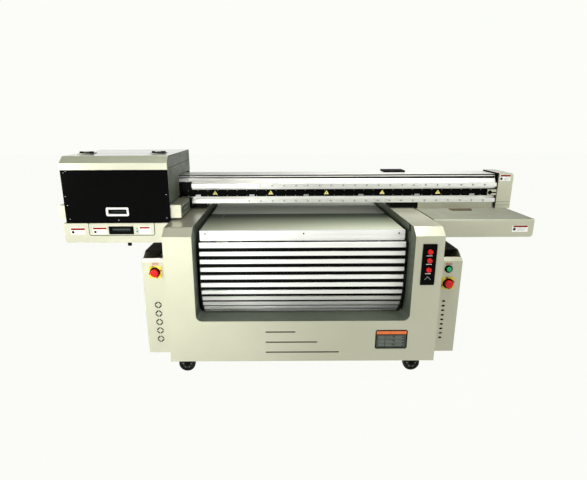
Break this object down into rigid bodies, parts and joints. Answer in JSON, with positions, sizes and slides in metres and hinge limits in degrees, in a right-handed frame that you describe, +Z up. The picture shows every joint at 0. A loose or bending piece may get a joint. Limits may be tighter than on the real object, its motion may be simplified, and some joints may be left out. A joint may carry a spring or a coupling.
{
  "type": "flatbed uv printer",
  "caption": "Floor-standing flatbed printer with a lifting vacuum table, a gantry that travels over it, a hooded head carriage and swivel casters.",
  "frame": {"origin": "centre of the overall footprint, on the floor under the wheels", "axes": "+X along the gantry towards the operator's right, +Y from the front panel to the back, +Z up"},
  "size_m": [2.194, 1.114, 1.022],
  "materials": {
    "cream_paint": "satin",
    "grey_paint": "satin",
    "beam_paint": "satin",
    "black_steel": "satin",
    "rail_steel": "ground",
    "zinc_steel": "zinc plated",
    "cast_aluminium": "machined",
    "table_aluminium": "anodised",
    "ink_plastic": "satin",
    "black_plastic": "satin",
    "black_acrylic": "gloss",
    "black_glass": "gloss",
    "white_plastic": "gloss",
    "yellow_plastic": "satin",
    "red_plastic": "gloss",
    "green_plastic": "gloss",
    "wheel_rubber": "satin"
  },
  "bodies": {
    "base": {"front_panel": "cream_paint", "recess_liner": "grey_paint", "arm_covers": "cream_paint", "front_slats": "cream_paint", "slat_tracks": "black_steel", "base_frame": "black_steel", "floor_pan": "black_steel", "rear_panel": "cream_paint", "side_cabinets": "cream_paint", "rail_covers": "black_steel", "y_rails": "rail_steel", "y_drives": "black_steel", "caster_mounts": "zinc_steel", "lift_columns": "grey_paint", "vacuum_blower": "cast_aluminium", "electronics_box": "grey_paint", "ink_bottles": "ink_plastic", "estop_guards": "yellow_plastic", "button_panels": "black_plastic"},
    "table": {"table_plate": "table_aluminium", "table_front_rail": "table_aluminium", "table_platform": "black_steel"},
    "gantry": {"beam": "beam_paint", "x_rails": "rail_steel", "magnet_track": "black_plastic", "gantry_legs": "black_steel", "y_bearing_blocks": "black_steel", "ball_nuts": "rail_steel", "housing_shell": "cream_paint", "left_tray": "cream_paint", "control_panel": "cream_paint", "lcd_display": "black_glass", "capping_station": "black_plastic", "right_tray": "cream_paint", "end_cap": "cream_paint", "cable_chain": "black_plastic"},
    "cover": {"cover_hood": "cream_paint", "window": "black_acrylic", "pull_handle": "white_plastic"},
    "carriage": {"uv_lamps": "cream_paint", "head_carrier": "cream_paint", "print_heads": "black_plastic", "carriage_plate": "cast_aluminium", "x_bearing_blocks": "black_steel"},
    "y_screw_left": {"y_screw_left": "rail_steel"},
    "y_screw_right": {"y_screw_right": "rail_steel"},
    "caster_front_left": {"caster_fork_front_left": "zinc_steel"},
    "wheel_front_left": {"caster_wheel_front_left": "wheel_rubber"},
    "caster_front_right": {"caster_fork_front_right": "zinc_steel"},
    "wheel_front_right": {"caster_wheel_front_right": "wheel_rubber"},
    "caster_rear_left": {"caster_fork_rear_left": "zinc_steel"},
    "wheel_rear_left": {"caster_wheel_rear_left": "wheel_rubber"},
    "caster_rear_right": {"caster_fork_rear_right": "zinc_steel"},
    "wheel_rear_right": {"caster_wheel_rear_right": "wheel_rubber"},
    "estop_left": {"estop_button_left": "red_plastic"},
    "estop_right": {"estop_button_right": "red_plastic"},
    "red_1": {"red_button_1": "red_plastic"},
    "red_2": {"red_button_2": "red_plastic"},
    "red_3": {"red_button_3": "red_plastic"},
    "green": {"green_button": "green_plastic"}
  },
  "joints": [
    {"name": "gantry_slide", "type": "slide", "parent": "base", "child": "gantry", "axis": [0, 1, 0], "range_m": [-0.17, 0.42]},
    {"name": "carriage_slide", "type": "slide", "parent": "gantry", "child": "carriage", "axis": [1, 0, 0], "range_m": [0, 1.45]},
    {"name": "table_lift", "type": "slide", "parent": "base", "child": "table", "axis": [0, 0, 1], "range_m": [-0.06, 0.03]},
    {"name": "cover_hinge", "type": "hinge", "parent": "gantry", "child": "cover", "pos_m": [-0.825, -0.163, 1.017], "axis": [-1, 0, 0], "range_deg": [0, 80]},
    {"name": "y_screw_left_turn", "type": "hinge", "parent": "base", "child": "y_screw_left", "pos_m": [-0.673, -0.543, 0.516], "axis": [0, 1, 0], "continuous": true},
    {"name": "y_screw_right_turn", "type": "hinge", "parent": "base", "child": "y_screw_right", "pos_m": [0.699, -0.543, 0.516], "axis": [0, 1, 0], "continuous": true},
    {"name": "caster_swivel_front_left", "type": "hinge", "parent": "base", "child": "caster_front_left", "pos_m": [-0.515, -0.443, 0.06], "axis": [0, 0, 1], "continuous": true},
    {"name": "wheel_spin_front_left", "type": "hinge", "parent": "caster_front_left", "child": "wheel_front_left", "pos_m": [-0.533, -0.443, 0.039], "axis": [0, -1, 0], "continuous": true},
    {"name": "caster_swivel_front_right", "type": "hinge", "parent": "base", "child": "caster_front_right", "pos_m": [0.559, -0.443, 0.06], "axis": [0, 0, 1], "continuous": true},
    {"name": "wheel_spin_front_right", "type": "hinge", "parent": "caster_front_right", "child": "wheel_front_right", "pos_m": [0.541, -0.443, 0.039], "axis": [0, -1, 0], "continuous": true},
    {"name": "caster_swivel_rear_left", "type": "hinge", "parent": "base", "child": "caster_rear_left", "pos_m": [-0.533, 0.457, 0.06], "axis": [0, 0, 1], "continuous": true},
    {"name": "wheel_spin_rear_left", "type": "hinge", "parent": "caster_rear_left", "child": "wheel_rear_left", "pos_m": [-0.533, 0.475, 0.039], "axis": [-1, 0, 0], "continuous": true},
    {"name": "caster_swivel_rear_right", "type": "hinge", "parent": "base", "child": "caster_rear_right", "pos_m": [0.559, 0.457, 0.06], "axis": [0, 0, 1], "continuous": true},
    {"name": "wheel_spin_rear_right", "type": "hinge", "parent": "caster_rear_right", "child": "wheel_rear_right", "pos_m": [0.559, 0.475, 0.039], "axis": [-1, 0, 0], "continuous": true},
    {"name": "estop_press_left", "type": "slide", "parent": "base", "child": "estop_left", "axis": [0, 1, 0], "range_m": [0, 0.004], "stiffness_N_per_m": 3000, "springref_m": -0.002},
    {"name": "estop_press_right", "type": "slide", "parent": "base", "child": "estop_right", "axis": [0, 1, 0], "range_m": [0, 0.004], "stiffness_N_per_m": 3000, "springref_m": -0.002},
    {"name": "red_press_1", "type": "slide", "parent": "base", "child": "red_1", "axis": [0, 1, 0], "range_m": [0, 0.003], "stiffness_N_per_m": 1500, "springref_m": -0.001},
    {"name": "red_press_2", "type": "slide", "parent": "base", "child": "red_2", "axis": [0, 1, 0], "range_m": [0, 0.003], "stiffness_N_per_m": 1500, "springref_m": -0.001},
    {"name": "red_press_3", "type": "slide", "parent": "base", "child": "red_3", "axis": [0, 1, 0], "range_m": [0, 0.003], "stiffness_N_per_m": 1500, "springref_m": -0.001},
    {"name": "green_press", "type": "slide", "parent": "base", "child": "green", "axis": [0, 1, 0], "range_m": [0, 0.003], "stiffness_N_per_m": 1500, "springref_m": -0.001}
  ],
  "couplings": [
    {"joint": "y_screw_left_turn", "follows": "gantry_slide", "rad_per_m": -251.33},
    {"joint": "y_screw_right_turn", "follows": "gantry_slide", "rad_per_m": -251.33}
  ]
}
